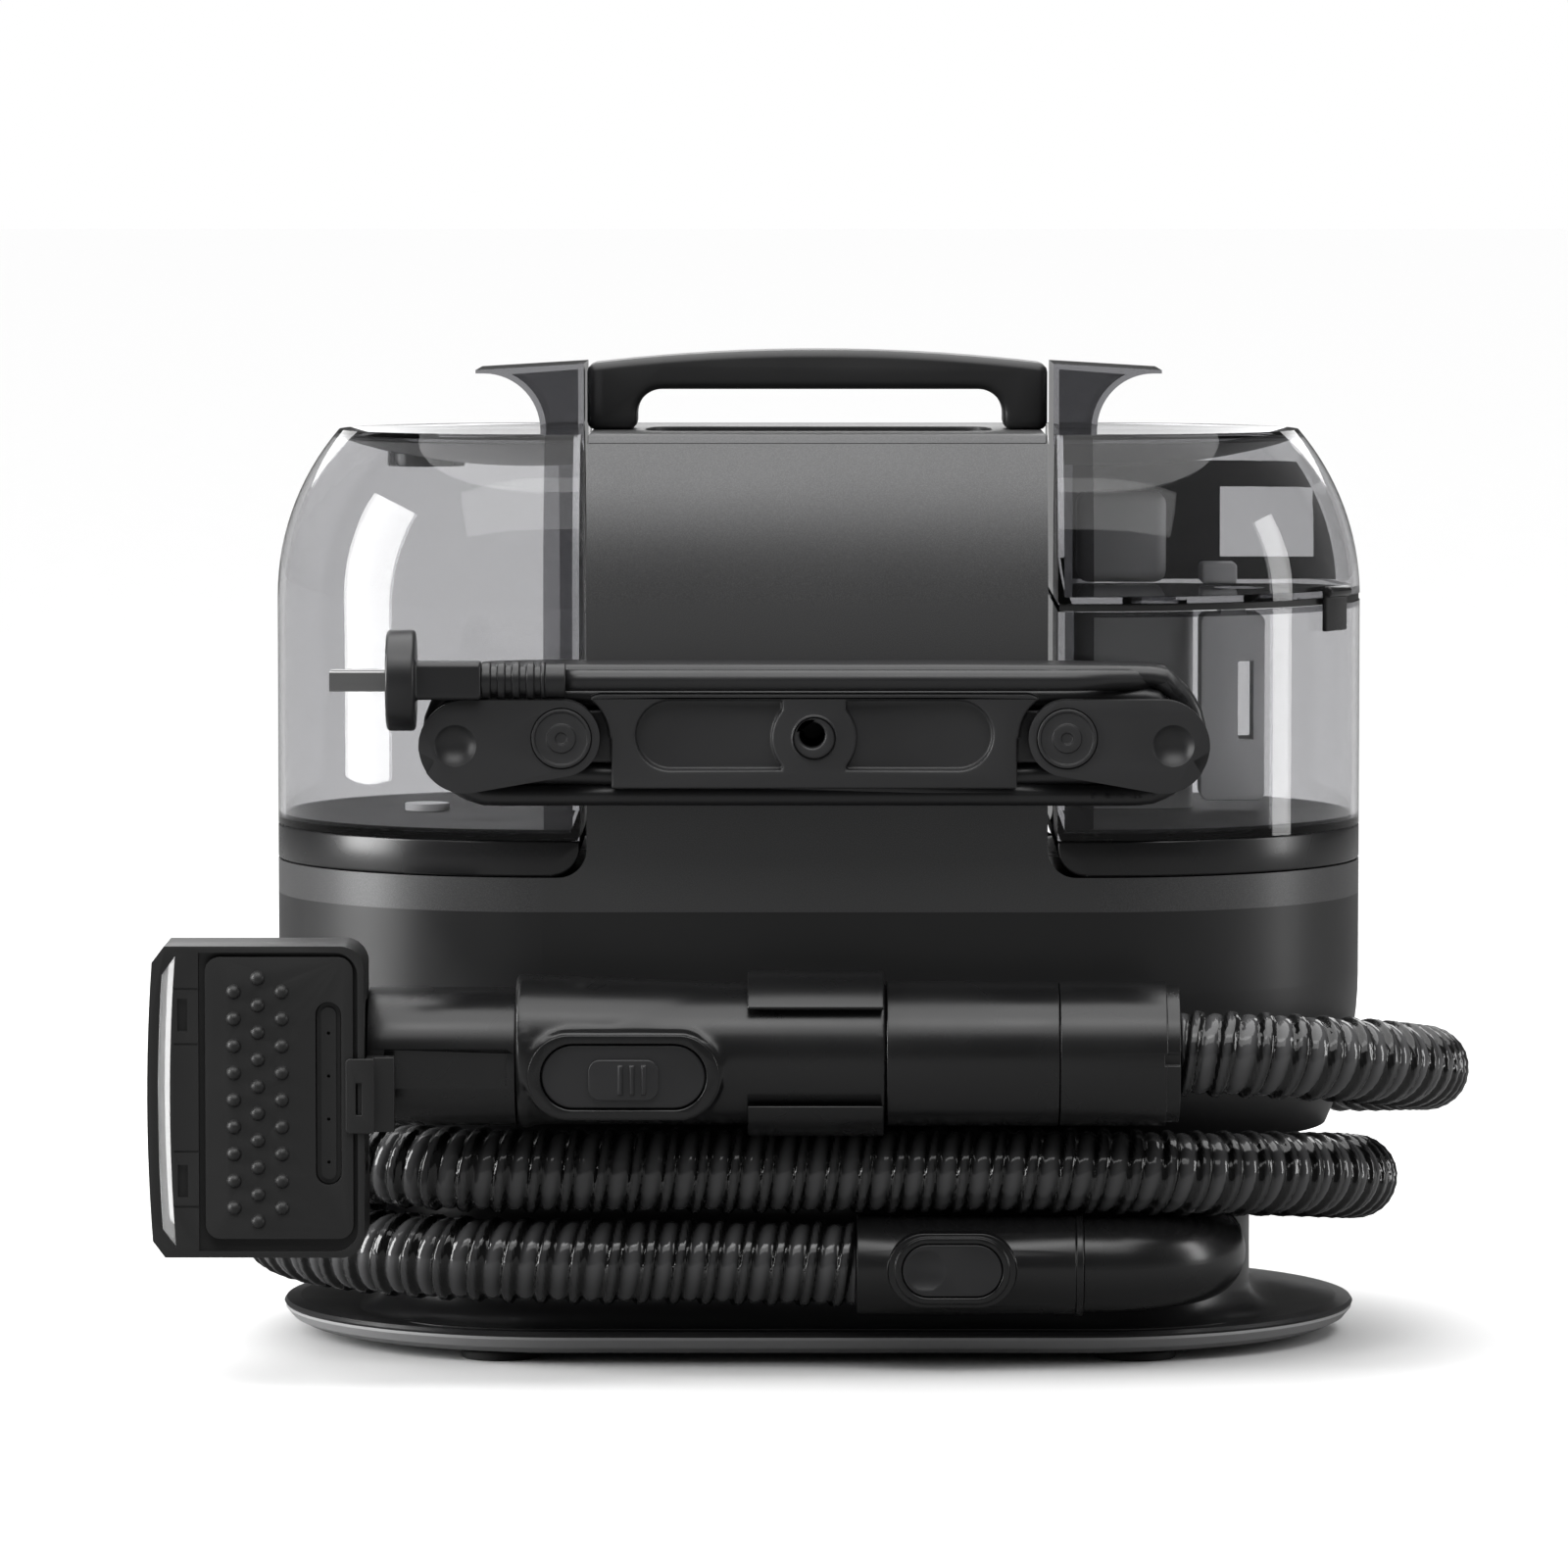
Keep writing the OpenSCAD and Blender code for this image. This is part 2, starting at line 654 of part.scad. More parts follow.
// The solid that one tank fills, on the +X side, inset by t, from z0 to z1, dished on top
module tank_solid(t, z0, z1) difference() {
    intersection() {
        round_plan(half_w, half_d) upper_profile(t, z0, z1);
        translate([tank_x + t, -150, 0]) cube([200, 300, 400]);
    }
    translate([dish_x, 0, top_z - dish_depth + dish_r]) sphere(r = dish_r + t);
}

// Grip wing that stands on the tank's inner wall and curls outwards, shrunk by t
module wing_outline(t) difference() {
    polygon([[tank_x + t, top_z - 11], [tank_x + t, 349 - t], [122 - 3 * t, 346.7 - t],
        [122 - 3 * t, 345.5], [119, 345.5], [99, 325.5], [99 - t, top_z - 11]]);
    translate([119, 325.5]) circle(r = 20 + t);
}

module clean_tank_shell() color("#b8b8b8", 0.4) mirror([1, 0, 0]) difference() {
    union() {
        tank_solid(0, glass_z, top_z);
        along_y(-32, 32) wing_outline(0);
    }
    tank_solid(tank_wall, glass_z + tank_wall, top_z - tank_wall);
    along_y(-30, 30) wing_outline(2);
    translate([-valve_x, 0, top_z - 16]) cylinder(r = 14.4, h = 20);
    translate([-valve_x, 0, glass_z - 1]) cylinder(r = 5.3, h = 5);
}

// Dark cup under a tank, with its lower inner corner rounded
module tank_base() color("#2a2a2a") intersection() {
    along_z(deck_z + gap, glass_z) stadium(half_w, half_d);
    along_y(-150, 150) {
        translate([tank_x + 10, deck_z]) square([200, glass_z - deck_z]);
        translate([tank_x, deck_z + 10.5]) square([20, glass_z - deck_z - 10.5]);
        translate([tank_x + 10, deck_z + 10.5]) circle(r = 10);
    }
}

module clean_tank_base() difference() {
    mirror([1, 0, 0]) tank_base();
    translate([valve_x, 0, deck_z - 1]) cylinder(r = 5.3, h = 20);
    translate([valve_x, 0, deck_z - 1]) cylinder(r = 9, h = 7);
}

module clean_tank_cap() color("#2a2a2a") translate([valve_x, 0, 0]) difference() {
    translate([0, 0, cap_z - 7]) cylinder(r = 14, h = 7);
    for (s = [-1, 1]) translate([0, 0, cap_z - 4]) intersection() {
        cylinder(r = 10, h = 5);
        translate([-11, s * 6 - 4.4, 0]) cube([22, 8.8, 6]);
    }
}

module clean_tank_valve() color("#cfcfcf") translate([valve_x, 0, 0]) {
    translate([0, 0, 166]) cylinder(r = 5, h = 24);
    translate([0, 0, 187.2]) cylinder(r = 8, h = 3);
    translate([0, 0, 166]) cylinder(r = 7.4, h = 1.6);
}

module dirty_bucket() color("#a8a8a8", 0.4) difference() {
    tank_solid(0, glass_z, seal_z);
    tank_solid(tank_wall, glass_z + tank_wall, seal_z + 1);
    translate([riser_x, riser_y, glass_z - 1]) cylinder(r = 9, h = 5);
}

module dirty_base() difference() {
    tank_base();
    translate([riser_x, riser_y, deck_z - 1]) cylinder(r = 9, h = 20);
}

module suction_riser() color("#606060") translate([riser_x, riser_y, glass_z + tank_wall]) difference() {
    linear_extrude(75) rounded(43, 24, 9);
    translate([0, 0, -1]) cylinder(r = 9, h = 80);
}

module lid_seal() color("#1a1a1a") difference() {
    tank_solid(0.4, seal_z + gap, seal_z + 2.6);
    tank_solid(5, seal_z - 1, seal_z + 4);
}

module dirty_lid() color("#6a6a6a", 0.5) difference() {
    union() {
        tank_solid(0, seal_z + 2.6, top_z);
        along_y(-32, 32) wing_outline(0);
    }
    tank_solid(2.2, seal_z + 5, top_z - 2.2);
    along_y(-30, 30) wing_outline(2);
    translate([riser_x, riser_y, seal_z]) cylinder(r = 8, h = 8);
    translate([150, -20, seal_z]) cylinder(r = 9, h = 8);
}

module float_guide() color("#9a9a9a") difference() {
    along_y(-12, 12) {
        translate([float_x, 225.5]) rounded(23, 67, 3);
        translate([float_x, 262]) square([9, 9.2], center = true);
    }
    along_y(-9, 9) translate([float_x, 225.5]) square([17, 62], center = true);
    along_y(-13, 13) translate([float_x + 4.6, 228]) square([5.4, 28], center = true);
}

module float_block() color("#d8d8d8") along_y(-8, 8) translate([float_x, 203]) rounded(16, 16, 2);

module lid_latch() color("#1f1f1f") translate([half_w - half_d, 0, 0]) rotate([0, 0, -30])
    along_y(-8, 8) {
        translate([half_d + 0.5, 255]) square([2, 14]);
        translate([half_d + 2.4, 269]) circle(r = 2);
    }

// Control panel on the +Y side

// The given shape at the places of the two buttons
module button_places() for (x = [-20, 19]) along_y(half_d - 4, half_d + 3)
    translate([x, button_z]) children();

module control_panel() color("#1d1d1d") difference() {
    along_y(half_d, half_d + 1.6) translate([-0.5, button_z]) rounded(80, 34, 8);
    button_places() circle(r = button_r + gap);
}

module panel_button(x) color("#5a5a5a") along_y(half_d - 0.5, half_d + 2.6)
    translate([x, button_z]) circle(r = button_r);

module power_button() panel_button(-20);

module mode_button() panel_button(19);

base_tray();
base_skirt();
rubber_feet();
waist_shell();
lower_shell();
body_band();
tank_deck();
rear_column_cover();
front_column_cover();
column_side_walls();
top_cover();
carry_handle();
cord_wrap_bracket();
cord_hook_left();
cord_hook_right();
hook_pivot_caps();
power_cord_winding();
power_cord_lead();
plug_housing();
plug_blades();
plug_strain_relief();
cord_gland();
hose_outlet_elbow();
hose_connector();
hose_release_button();
suction_hose();
hose_cuff();
wand_clip();
wand_grip();
wand_tube();
wand_neck();
trigger_bezel();
spray_trigger();
trigger_lock();
nozzle_head();
nozzle_window();
scrub_plate();
spray_bar();
head_latch();
motor_housing();
fan_rotor();
water_pump();
pump_plunger();
circuit_board();
exhaust_grille();
clean_tank_shell();
clean_tank_base();
clean_tank_cap();
clean_tank_valve();
dirty_bucket();
dirty_base();
lid_seal();
dirty_lid();
lid_latch();
float_guide();
float_block();
suction_riser();
control_panel();
power_button();
mode_button();
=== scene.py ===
"""Looks of the portable carpet cleaner: hose, cord, tanks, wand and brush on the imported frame."""

import json
import math

import bpy
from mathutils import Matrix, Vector


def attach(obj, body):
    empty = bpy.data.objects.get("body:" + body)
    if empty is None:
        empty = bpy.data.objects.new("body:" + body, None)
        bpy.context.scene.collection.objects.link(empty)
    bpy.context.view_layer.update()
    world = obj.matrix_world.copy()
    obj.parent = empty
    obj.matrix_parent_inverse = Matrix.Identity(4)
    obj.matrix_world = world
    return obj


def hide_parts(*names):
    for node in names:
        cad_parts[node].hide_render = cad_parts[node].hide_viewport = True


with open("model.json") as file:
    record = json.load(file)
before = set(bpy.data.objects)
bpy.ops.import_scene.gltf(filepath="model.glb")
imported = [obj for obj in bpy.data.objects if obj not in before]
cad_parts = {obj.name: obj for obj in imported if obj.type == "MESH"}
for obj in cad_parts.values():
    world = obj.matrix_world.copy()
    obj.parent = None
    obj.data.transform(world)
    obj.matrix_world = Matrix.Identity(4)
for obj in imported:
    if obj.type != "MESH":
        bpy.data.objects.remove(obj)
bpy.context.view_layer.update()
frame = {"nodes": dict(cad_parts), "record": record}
NODES = frame["nodes"]
MM = 0.001


# Camera

CAMERA_PLACE = (0, -3.10, 0.417)
CAMERA_LOOKS_DOWN = 4.06
CAMERA_TURN = 0.23
CAMERA_LENS = 198


def add_camera():
    bpy.ops.object.camera_add(
        location=CAMERA_PLACE,
        rotation=(math.radians(90 - CAMERA_LOOKS_DOWN), 0, math.radians(CAMERA_TURN)),
    )
    camera = bpy.context.object
    camera.data.lens = CAMERA_LENS
    camera.data.sensor_width = 36
    bpy.context.scene.camera = camera


add_camera()


# Cords and their routes, in millimetres

HOSE_ROUTE = [
    (13, -112, 37), (-20, -112, 37.5), (-50, -112, 38), (-83, -112, 38), (-126, -103, 38),
    (-162, -79, 38), (-186, -43, 38), (-194, 0, 38), (-186, 43, 38), (-162, 79, 38),
    (-126, 103, 38), (-83, 112, 38), (-28, 112, 38), (28, 112, 39), (83, 112, 40),
    (126, 103, 43), (162, 79, 47), (186, 43, 51), (194, 0, 55), (186, -43, 60),
    (162, -79, 65), (126, -103, 68), (83, -112, 70), (28, -112, 70), (-28, -112, 70),
    (-83, -112, 70), (-130, -106, 70), (-167, -81, 71), (-192, -44, 71), (-201, 0, 72),
    (-192, 44, 72), (-167, 81, 73), (-130, 107, 74), (-86, 116, 75), (-28, 116, 76),
    (28, 116, 77), (83, 117, 78), (118, 116, 79), (152, 107, 81), (181, 88, 84),
    (202, 61, 87), (214, 28, 91), (218, -8, 95), (216, -44, 99), (208, -76, 103),
    (193, -101, 107), (172, -118, 110), (148, -126, 112), (125, -127, 112.5)]
LEAD_ROUTE = [
    (-87, -138, 242.5), (-60, -138, 242.5), (-30, -138, 242.5), (0, -138, 242.5),
    (30, -138, 242.5), (60, -138, 242.5), (84, -138, 242.5), (95, -136, 242),
    (104, -130, 241), (111, -122, 240)]
HOSE_PITCH = 11.4
CORD_DIAMETER = 7.6
WRAP_X = -1.5
WRAP_Z = 223
WRAP_ARC_X = 110.9
WRAP_ROWS = (-103.7, -111.2, -118.7, -126.1)
WRAP_RADII = (13.2, 20.9)


def smooth_route(points, step):
    """The points joined by a Catmull-Rom curve, in metres, about a step apart."""
    p = [Vector(q) * MM for q in points]
    p = [2 * p[0] - p[1]] + p + [2 * p[-1] - p[-2]]
    route = []
    for a, b, c, d in zip(p, p[1:], p[2:], p[3:]):
        parts = max(1, round((c - b).length / step))
        for i in range(parts):
            t = i / parts
            route.append(
                0.5 * ((2 * b) + (c - a) * t + (2 * a - 5 * b + 4 * c - d) * t * t
                       + (3 * b - a - 3 * c + d) * t ** 3))
    route.append(p[-2])
    return route


def even_route(route, step):
    """The same curve with its points exactly evenly spread."""
    lengths = [0.0]
    for a, b in zip(route, route[1:]):
        lengths.append(lengths[-1] + (b - a).length)
    parts = max(2, round(lengths[-1] / step))
    spread = []
    j = 0
    for i in range(parts + 1):
        s = lengths[-1] * i / parts
        while j < len(route) - 2 and lengths[j + 1] < s:
            j += 1
        t = (s - lengths[j]) / max(lengths[j + 1] - lengths[j], 1e-9)
        spread.append(route[j].lerp(route[j + 1], min(max(t, 0), 1)))
    return spread, lengths[-1]


def tube(name, route, radius, sides, tone=None):
    """A closed tube along the route; radius and tone give a value for each length and angle."""
    verts = []
    tones = []
    headings = [(b - a).normalized() for a, b in zip(route, route[1:])]
    headings.append(headings[-1])
    side = headings[0].orthogonal().normalized()
    travelled = 0.0
    for i, point in enumerate(route):
        if i:
            travelled += (point - route[i - 1]).length
            turn = headings[i - 1].rotation_difference(headings[i])
            side = (turn @ side).normalized()
        up = headings[i].cross(side)
        for k in range(sides):
            a = 2 * math.pi * k / sides
            verts.append(point + radius(travelled, a) * (math.cos(a) * side + math.sin(a) * up))
            if tone:
                tones.append(tone(travelled, a))
    faces = []
    for i in range(len(route) - 1):
        for k in range(sides):
            n = (k + 1) % sides
            faces.append((i * sides + k, i * sides + n, (i + 1) * sides + n, (i + 1) * sides + k))
    faces.append(tuple(reversed(range(sides))))
    last = (len(route) - 1) * sides
    faces.append(tuple(range(last, last + sides)))
    mesh = bpy.data.meshes.new(name)
    mesh.from_pydata(verts, [], faces)
    mesh.shade_smooth()
    if tone:
        mesh.attributes.new("tone", "FLOAT", "POINT").data.foreach_set("value", tones)
    piece = bpy.data.objects.new(name, mesh)
    bpy.context.collection.objects.link(piece)
    return piece


def arch(x, middle, half_width):
    """A round-topped rise of height 1 round middle."""
    t = (x - middle) / half_width
    return math.sqrt(1 - t * t) if abs(t) < 1 else 0.0


def spiral_place(s, angle):
    """Where a point lies between two turns of the rib, from -0.5 to 0.5, with the rib at 0."""
    return (s / (HOSE_PITCH * MM) + angle / (2 * math.pi)) % 1 - 0.5


def hose_web(s, angle):
    return arch(abs(spiral_place(s, angle)), 0.5, 0.26)


def hose_painted_light(s, angle):
    """Painted light on the vinyl: most on the web, standing in for light passing through it, and a painted
    highlight on the crest of the rib; none between.
    """
    return hose_web(s, angle) ** 2 + 0.6 * arch(spiral_place(s, angle), 0.02, 0.1)


def hose_radius(s, angle):
    """A raised spiral with a fine line along its crest, and a gently bulged web between."""
    x = spiral_place(s, angle)
    ridge = arch(x, 0, 0.24)
    crest_line = arch(x, 0, 0.05)
    return (12.4 + 2.85 * ridge - 0.4 * crest_line + 1.7 * hose_web(s, angle)) * MM


def wound_route():
    """Cord laid in flat rows round the hub: each row has an inner and an outer turn."""
    points = [(82, -101.5, 238), (70, -102.6, 236.6)]
    turns = [(y, r) for y in WRAP_ROWS for r in WRAP_RADII]
    straight = 2 * WRAP_ARC_X
    for i, (y, r) in enumerate(turns):
        next_y, next_r = turns[i + 1] if i + 1 < len(turns) else (y, r)
        for x in (60, 20, -20, -60, -100):
            points.append((WRAP_X + x, y, WRAP_Z + r))
        for a in range(105, 270, 15):
            points.append((WRAP_X - WRAP_ARC_X + r * math.cos(math.radians(a)), y,
                           WRAP_Z + r * math.sin(math.radians(a))))
        for j in range(8):
            t = j / 7
            blend = t * t * (3 - 2 * t)
            points.append((WRAP_X - WRAP_ARC_X + straight * t, y + (next_y - y) * blend,
                           WRAP_Z - (r + (next_r - r) * blend)))
        for a in range(-75, 90, 15):
            points.append((WRAP_X + WRAP_ARC_X + next_r * math.cos(math.radians(a)), next_y,
                           WRAP_Z + next_r * math.sin(math.radians(a))))
    points.append((116, -123.5, 242))
    points += [(104, -130, 242.3), (95, -135, 242.5)]
    points += list(reversed(LEAD_ROUTE[:7]))
    return points


hose_path, hose_length = even_route(smooth_route(HOSE_ROUTE, 0.0008), HOSE_PITCH * MM / 20)
suction_hose = tube("suction_hose_ribbed", hose_path, hose_radius, 26, hose_painted_light)
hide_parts("suction_hose")
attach(suction_hose, "machine")

cord_path, cord_length = even_route(smooth_route(wound_route(), 0.002), 0.005)
power_cord = tube("power_cord", cord_path, lambda s, a: CORD_DIAMETER * MM / 2, 12)
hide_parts("power_cord_winding", "power_cord_lead")
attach(power_cord, "machine")


# Materials

def new_material(name, colour, roughness):
    material = bpy.data.materials.new(name)
    material.use_nodes = True
    shader = material.node_tree.nodes["Principled BSDF"]
    shader.inputs["Base Color"].default_value = (*colour, 1)
    shader.inputs["Roughness"].default_value = roughness
    return material, shader


def add_grain(material, shader, size, depth, strength):
    """Fine moulded texture: noise of the given size in millimetres drives a bump."""
    tree = material.node_tree
    place = tree.nodes.new("ShaderNodeTexCoord")
    noise = tree.nodes.new("ShaderNodeTexNoise")
    bump = tree.nodes.new("ShaderNodeBump")
    noise.inputs["Scale"].default_value = 1 / (size * MM)
    noise.inputs["Detail"].default_value = 2
    bump.inputs["Strength"].default_value = strength
    bump.inputs["Distance"].default_value = depth * MM
    tree.links.new(place.outputs["Object"], noise.inputs["Vector"])
    tree.links.new(noise.outputs["Fac"], bump.inputs["Height"])
    tree.links.new(bump.outputs["Normal"], shader.inputs["Normal"])
    return place


def add_variation(material, shader, place, size, low, high):
    """Slow change of the gloss over the piece, as handling and moulding leave it."""
    tree = material.node_tree
    noise = tree.nodes.new("ShaderNodeTexNoise")
    spread = tree.nodes.new("ShaderNodeMapRange")
    noise.inputs["Scale"].default_value = 1 / (size * MM)
    noise.inputs["Detail"].default_value = 3
    spread.inputs["From Min"].default_value = 0.3
    spread.inputs["From Max"].default_value = 0.7
    spread.inputs["To Min"].default_value = low
    spread.inputs["To Max"].default_value = high
    tree.links.new(place.outputs["Object"], noise.inputs["Vector"])
    tree.links.new(noise.outputs["Fac"], spread.inputs["Value"])
    tree.links.new(spread.outputs["Result"], shader.inputs["Roughness"])


def add_flecks(material, shader, place, size, base, fleck):
    """Tiny bright flakes in the paint, mixed into the base colour."""
    tree = material.node_tree
    noise = tree.nodes.new("ShaderNodeTexNoise")
    ramp = tree.nodes.new("ShaderNodeValToRGB")
    noise.inputs["Scale"].default_value = 1 / (size * MM)
    noise.inputs["Detail"].default_value = 1
    ramp.color_ramp.elements[0].position = 0.42
    ramp.color_ramp.elements[0].color = (*base, 1)
    ramp.color_ramp.elements[1].position = 0.66
    ramp.color_ramp.elements[1].color = (*fleck, 1)
    tree.links.new(place.outputs["Object"], noise.inputs["Vector"])
    tree.links.new(noise.outputs["Fac"], ramp.inputs["Fac"])
    tree.links.new(ramp.outputs["Color"], shader.inputs["Base Color"])


def moulded(name, colour, roughness, grain=0.5, depth=0.03, strength=0.4, spread=0.05):
    material, shader = new_material(name, colour, roughness)
    place = add_grain(material, shader, grain, depth, strength)
    add_variation(material, shader, place, 40, roughness - spread, roughness + spread)
    return material


def metallic_paint(name, base, fleck, roughness):
    material, shader = new_material(name, base, roughness)
    place = add_grain(material, shader, 0.3, 0.008, 0.25)
    add_flecks(material, shader, place, 0.28, base, fleck)
    shader.inputs["Metallic"].default_value = 0.4
    add_variation(material, shader, place, 60, roughness - 0.04, roughness + 0.04)
    return material


def clear_plastic(name, colour, roughness, ior=1.2, transmission=1.0):
    material, shader = new_material(name, colour, roughness)
    shader.inputs["Transmission Weight"].default_value = transmission
    shader.inputs["IOR"].default_value = ior
    add_grain(material, shader, 9, 0.05, 0.04)
    return material


def smoked_vinyl(name, rib, web, roughness):
    """Smoky vinyl: a black rib, and a thin web between its turns painted lighter for the light it lets
    through, with a painted highlight along the rib's crest, both carried by the tone attribute.
    """
    material = moulded(name, rib, roughness, 3.0, 0.05, 0.2, 0.03)
    tree = material.node_tree
    painted_light_attribute = tree.nodes.new("ShaderNodeAttribute")
    painted_light_attribute.attribute_name = "tone"
    mix = tree.nodes.new("ShaderNodeMix")
    mix.data_type = "RGBA"
    mix.inputs["A"].default_value = (*rib, 1)
    mix.inputs["B"].default_value = (*web, 1)
    tree.links.new(painted_light_attribute.outputs["Fac"], mix.inputs["Factor"])
    tree.links.new(mix.outputs["Result"], tree.nodes["Principled BSDF"].inputs["Base Color"])
    return material


def maths(tree, operation, first, second):
    """A maths node whose inputs are numbers or other nodes' outputs."""
    node = tree.nodes.new("ShaderNodeMath")
    node.operation = operation
    for socket, value in zip(node.inputs, (first, second)):
        if isinstance(value, (int, float)):
            socket.default_value = value
        else:
            tree.links.new(value, socket)
    return node.outputs["Value"]


DOUBLE_WALL_X = 96
TANK_FLOOR_TOP = 187.8
DISH_X = 104
DISH_R = 236
DISH_WALL = 3.2
DISH_CENTRE_Z = 551


def tank_plastic(name, clear, dark, seam_low, seam_high):
    """Tank plastic: painted shade beside the column, in the dish and at the bottom, where the clear
    plastic looks dark; dark also at the lid's seam.
    """
    material = clear_plastic(name, clear, 0.01, 1.35)
    shader = material.node_tree.nodes["Principled BSDF"]
    tree = material.node_tree
    place = tree.nodes.new("ShaderNodeTexCoord")
    axes = tree.nodes.new("ShaderNodeSeparateXYZ")
    tree.links.new(place.outputs["Object"], axes.inputs["Vector"])
    side = maths(tree, "ABSOLUTE", axes.outputs["X"], 0)
    # Painted shade: the strip beside the column is darkened, standing in for the darker look through the
    # tank's walls there.
    beside_column = maths(tree, "LESS_THAN", side, DOUBLE_WALL_X * MM)
    # Painted shade: the plastic within the dish's ball is darkened, so the dish looks dark instead of
    # showing bright reflections.
    from_dish_middle = maths(tree, "SUBTRACT", side, DISH_X * MM)
    across = maths(tree, "POWER", maths(tree, "ABSOLUTE", from_dish_middle, 0), 2)
    along = maths(tree, "POWER", maths(tree, "ABSOLUTE", axes.outputs["Y"], 0), 2)
    below = maths(tree, "SUBTRACT", axes.outputs["Z"], DISH_CENTRE_Z * MM)
    upright = maths(tree, "POWER", maths(tree, "ABSOLUTE", below, 0), 2)
    reach = maths(tree, "SQRT", maths(tree, "ADD", maths(tree, "ADD", across, along), upright), 0)
    in_dish = maths(tree, "LESS_THAN", reach, (DISH_R + DISH_WALL) * MM)
    above_seam = maths(tree, "GREATER_THAN", axes.outputs["Z"], seam_low * MM)
    below_top = maths(tree, "LESS_THAN", axes.outputs["Z"], seam_high * MM)
    dirty_side = maths(tree, "GREATER_THAN", axes.outputs["X"], 0)
    at_seam = maths(tree, "MULTIPLY", maths(tree, "MULTIPLY", above_seam, below_top), dirty_side)
    # Painted shade: the plastic below the tank floor is darkened, hiding the bright floor seen through the
    # bottom.
    at_bottom = maths(tree, "LESS_THAN", axes.outputs["Z"], TANK_FLOOR_TOP * MM)
    # Painted shade beside the column, in the dish and at the bottom, together with the seam's dark band.
    shade_and_seam = maths(tree, "MAXIMUM", maths(tree, "MAXIMUM", beside_column, in_dish),
                   maths(tree, "MAXIMUM", at_seam, at_bottom))
    mix = tree.nodes.new("ShaderNodeMix")
    mix.data_type = "RGBA"
    mix.inputs["A"].default_value = (*clear, 1)
    mix.inputs["B"].default_value = (*dark, 1)
    tree.links.new(shade_and_seam, mix.inputs["Factor"])
    tree.links.new(mix.outputs["Result"], shader.inputs["Base Color"])
    return material


SATIN_GREY = metallic_paint("satin_grey_paint", (0.075, 0.075, 0.076), (0.11, 0.11, 0.112), 0.38)
BODY_BLACK = moulded("body_black_plastic", (0.016, 0.016, 0.0165), 0.4, 0.3, 0.01, 0.3)
WAIST_BLACK = moulded("waist_black_plastic", (0.011, 0.011, 0.012), 0.3, 0.6, 0.02, 0.2)
TRAY_GREY = moulded("tray_grey_plastic", (0.022, 0.022, 0.023), 0.34, 0.4, 0.02, 0.3)
# Painted light: the skirt under the tray's rim is a pale grey, standing in for the bright floor it
# reflects.
SKIRT_PAINTED_FLOOR_LIGHT = moulded("skirt_painted_floor_light", (0.4, 0.4, 0.405), 0.5, 0.4, 0.02, 0.3)
FOOT_RUBBER = moulded("foot_rubber_black", (0.01, 0.01, 0.01), 0.75, 0.8, 0.05, 0.5)
WRAP_BLACK = moulded("wrap_black_plastic", (0.026, 0.026, 0.027), 0.42, 0.35, 0.01, 0.3)
HANDLE_BLACK = moulded("handle_black_plastic", (0.016, 0.016, 0.0165), 0.36, 0.4, 0.01, 0.3)
CORD_BLACK = moulded("cord_sheath_black", (0.018, 0.018, 0.019), 0.33, 0.5, 0.01, 0.25)
PLUG_STEEL = moulded("plug_blade_nickel", (0.3, 0.3, 0.3), 0.34, 0.3, 0.01, 0.2)
PLUG_STEEL.node_tree.nodes["Principled BSDF"].inputs["Metallic"].default_value = 1
WAND_BLACK = moulded("wand_black_plastic", (0.009, 0.009, 0.0093), 0.27, 0.5, 0.01, 0.25)
BUTTON_GREY = moulded("button_grey_plastic", (0.022, 0.022, 0.023), 0.36, 0.4, 0.01, 0.3)
# The web colour is painted light: light passing through the web, and the painted highlight on the rib's
# crest, mixed in by the tone attribute.
HOSE_SMOKE = smoked_vinyl("hose_smoked_vinyl", (0.005, 0.005, 0.005), (0.085, 0.085, 0.087), 0.11)
BRUSH_BLACK = moulded("brush_black_plastic", (0.014, 0.014, 0.014), 0.45, 0.4, 0.01, 0.3)
# The second colour is painted shade beside the column, in the dish and at the bottom, and also the seam's
# dark band.
TANK_CLEAR = tank_plastic("tank_clear_plastic", (0.66, 0.66, 0.67), (0.22, 0.22, 0.23), 262, 264.5)
LID_TINTED = tank_plastic("lid_tinted_plastic", (0.6, 0.6, 0.61), (0.2, 0.2, 0.21), 266, 269.4)
# Dark plastic of the lid's baffle, also used for the painted-shade sheets under the dishes.
BAFFLE_AND_SHADE_BLACK = moulded("baffle_and_shade_sheet_black", (0.02, 0.02, 0.0205), 0.5, 0.5, 0.02, 0.3)
BAFFLE_AND_SHADE_BLACK.node_tree.nodes["Principled BSDF"].inputs["Specular IOR Level"].default_value = 0.2
DUCT_GREY = moulded("duct_grey_plastic", (0.4, 0.4, 0.402), 0.5, 0.5, 0.02, 0.3)
# Painted shade: dark plates on the tank floors, hiding the bright floor seen through the clear bottoms.
TANK_FLOOR = moulded("tank_floor_shade_black", (0.012, 0.012, 0.0125), 0.6, 0.6, 0.03, 0.5)
TANK_FLOOR.node_tree.nodes["Principled BSDF"].inputs["Specular IOR Level"].default_value = 0.15
TANK_BLACK = moulded("tank_black_plastic", (0.012, 0.012, 0.0125), 0.28, 0.6, 0.01, 0.2)
SEAL_RUBBER = moulded("seal_rubber_black", (0.01, 0.01, 0.01), 0.6, 0.8, 0.05, 0.4)
FLOAT_GREY = moulded("float_grey_plastic", (0.6, 0.6, 0.6), 0.45, 0.5, 0.02, 0.3)
MOUTH_CLEAR = clear_plastic("mouth_clear_plastic", (0.95, 0.95, 0.95), 0.05, 1.3, 0.6)
MOTOR_GREY = moulded("motor_cast_grey", (0.3, 0.3, 0.31), 0.5, 0.8, 0.05, 0.5)
